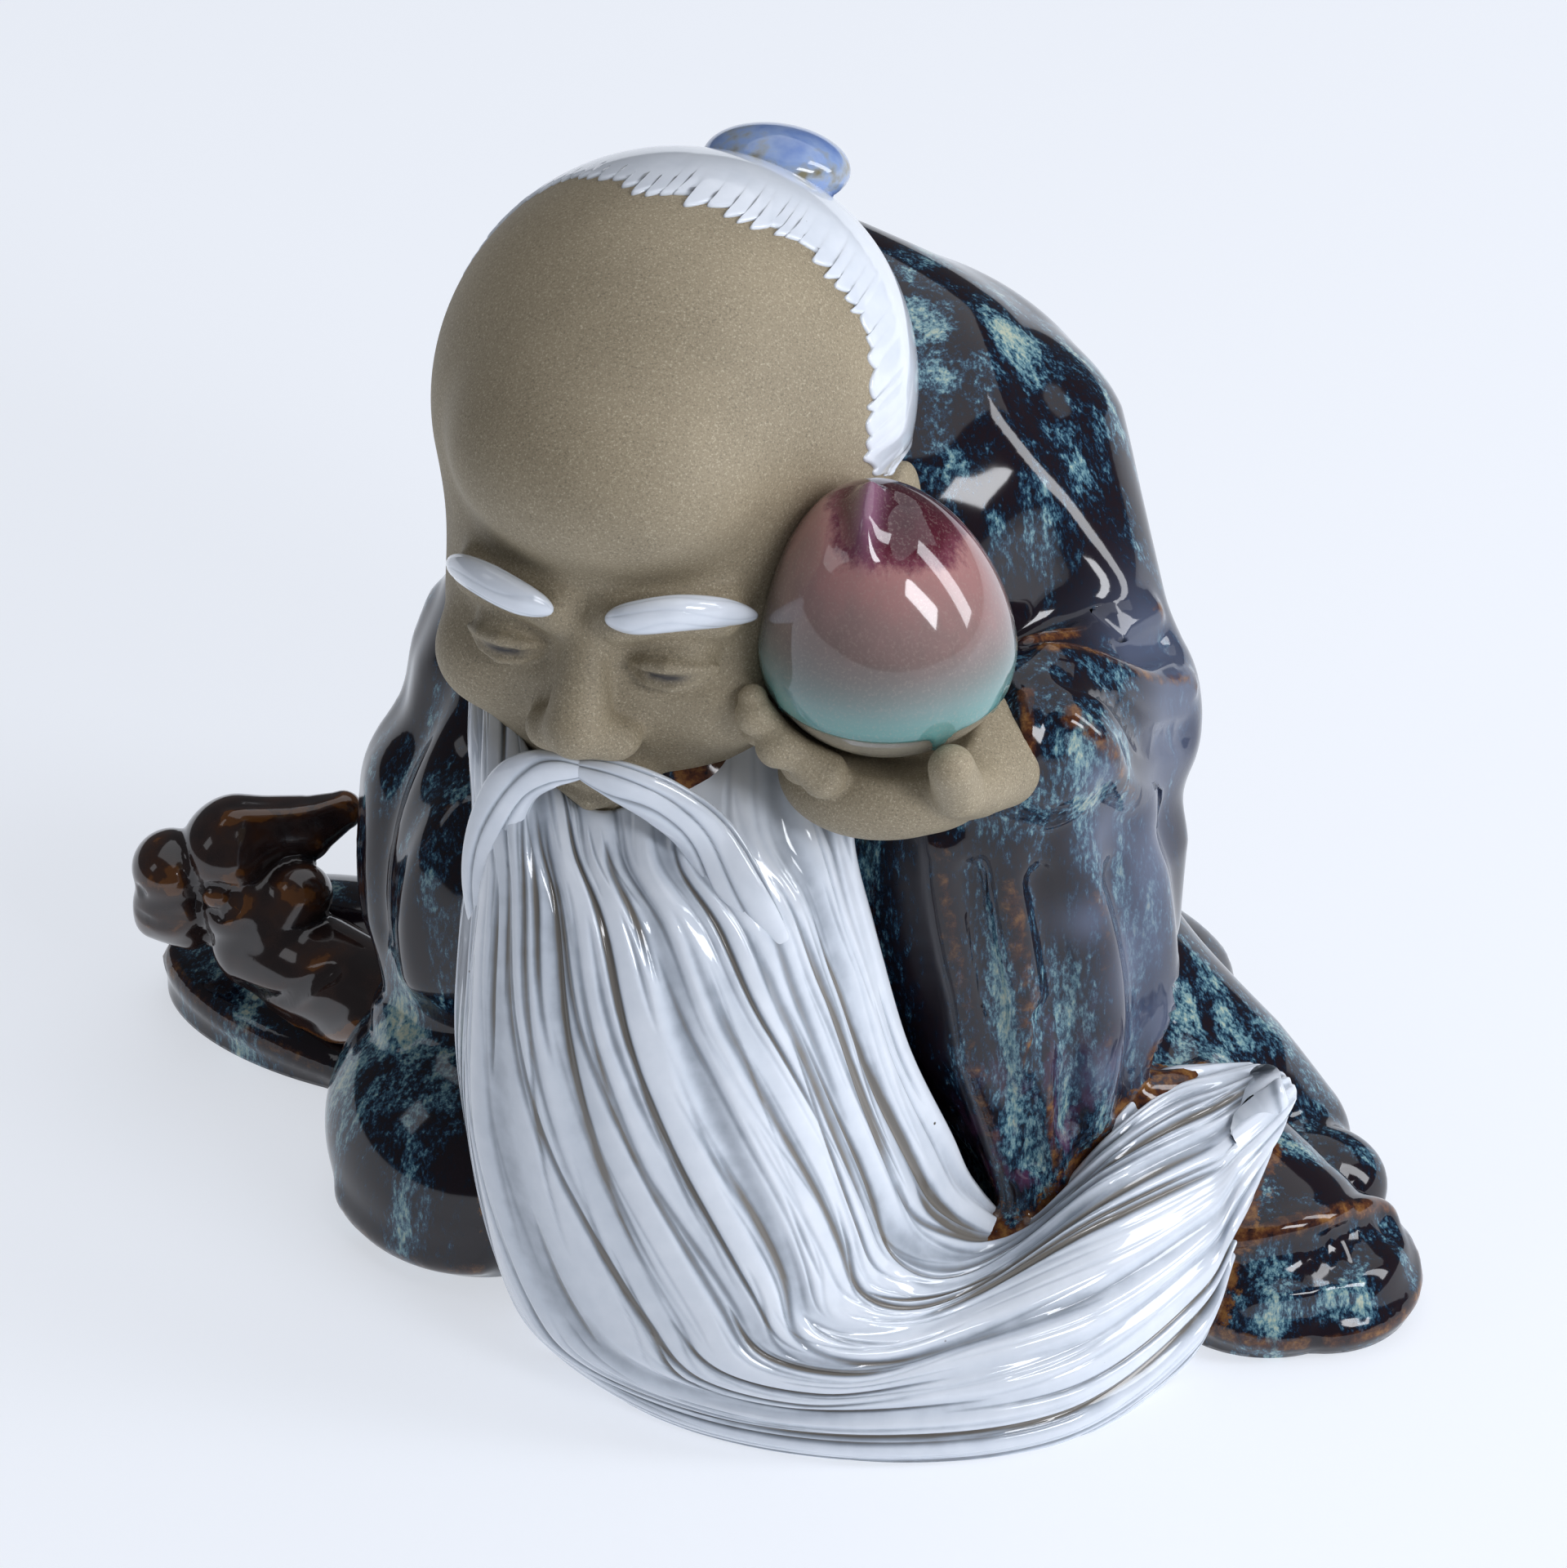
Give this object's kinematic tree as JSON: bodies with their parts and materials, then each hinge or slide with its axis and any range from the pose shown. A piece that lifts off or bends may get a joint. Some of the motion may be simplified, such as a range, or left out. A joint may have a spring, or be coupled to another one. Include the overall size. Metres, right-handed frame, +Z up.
{
  "type": "seated shou lao figure",
  "caption": "Glazed stoneware figure of a seated old man with a high bald head, long sweeping beard, a peach in the raised hand and a dragon-headed staff",
  "frame": {"origin": "point on the flat underside, below the middle of the seated body; the beard reaches 80 mm to the front of it and the back of the robe 79 mm behind it", "axes": "+Z up from the surface that the figure stands on, -Y towards the viewer who faces beard and peach, +X towards the viewer's right, the side of the peach"},
  "size_m": [0.212, 0.159, 0.1871],
  "materials": {
    "glazed_stoneware": "thick glossy running glazes: mottled dark blue and turquoise on the robe, opaque white on beard and hair, red to celadon on the peach, brown on the staff; head, face and hand bare matte olive-brown stoneware"
  },
  "bodies": {
    "root": {"figure": "glazed_stoneware"}
  },
  "joints": []
}
